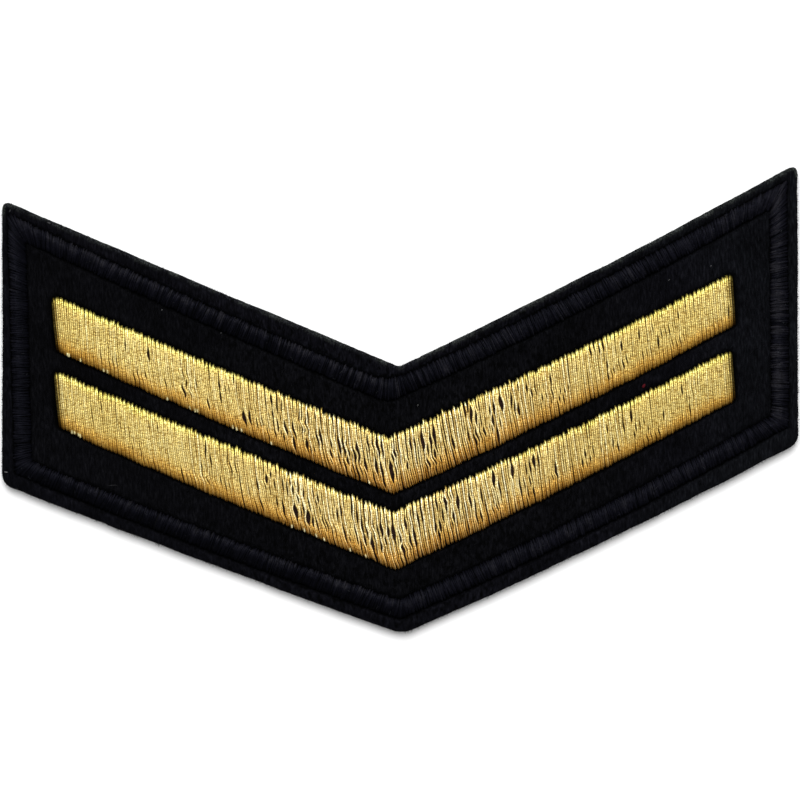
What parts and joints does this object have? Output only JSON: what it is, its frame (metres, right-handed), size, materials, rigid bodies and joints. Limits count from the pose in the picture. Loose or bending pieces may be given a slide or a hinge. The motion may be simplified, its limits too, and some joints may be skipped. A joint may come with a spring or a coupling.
{
  "type": "rank chevron patch",
  "caption": "Flat felt rank chevron with satin-stitched V-shaped bars inside a stitched border, cut out by hand and sewn onto a sleeve.",
  "frame": {"origin": "under the middle of the cut shape's bounding box, on the back that the patch rests on", "axes": "+X across the patch to the viewer's right, +Y up it from the chevrons' points, +Z out of the stitched face"},
  "size_m": [0.0912, 0.0506, 0.0021],
  "materials": {
    "ground_felt": "matt wool felt with a short nap",
    "border_thread": "soft satin stitches",
    "bar_thread": "gold metallic thread in satin stitches"
  },
  "bodies": {
    "root": {"felt_ground": "ground_felt", "satin_border": "border_thread", "upper_bar": "bar_thread", "lower_bar": "bar_thread"}
  },
  "joints": []
}
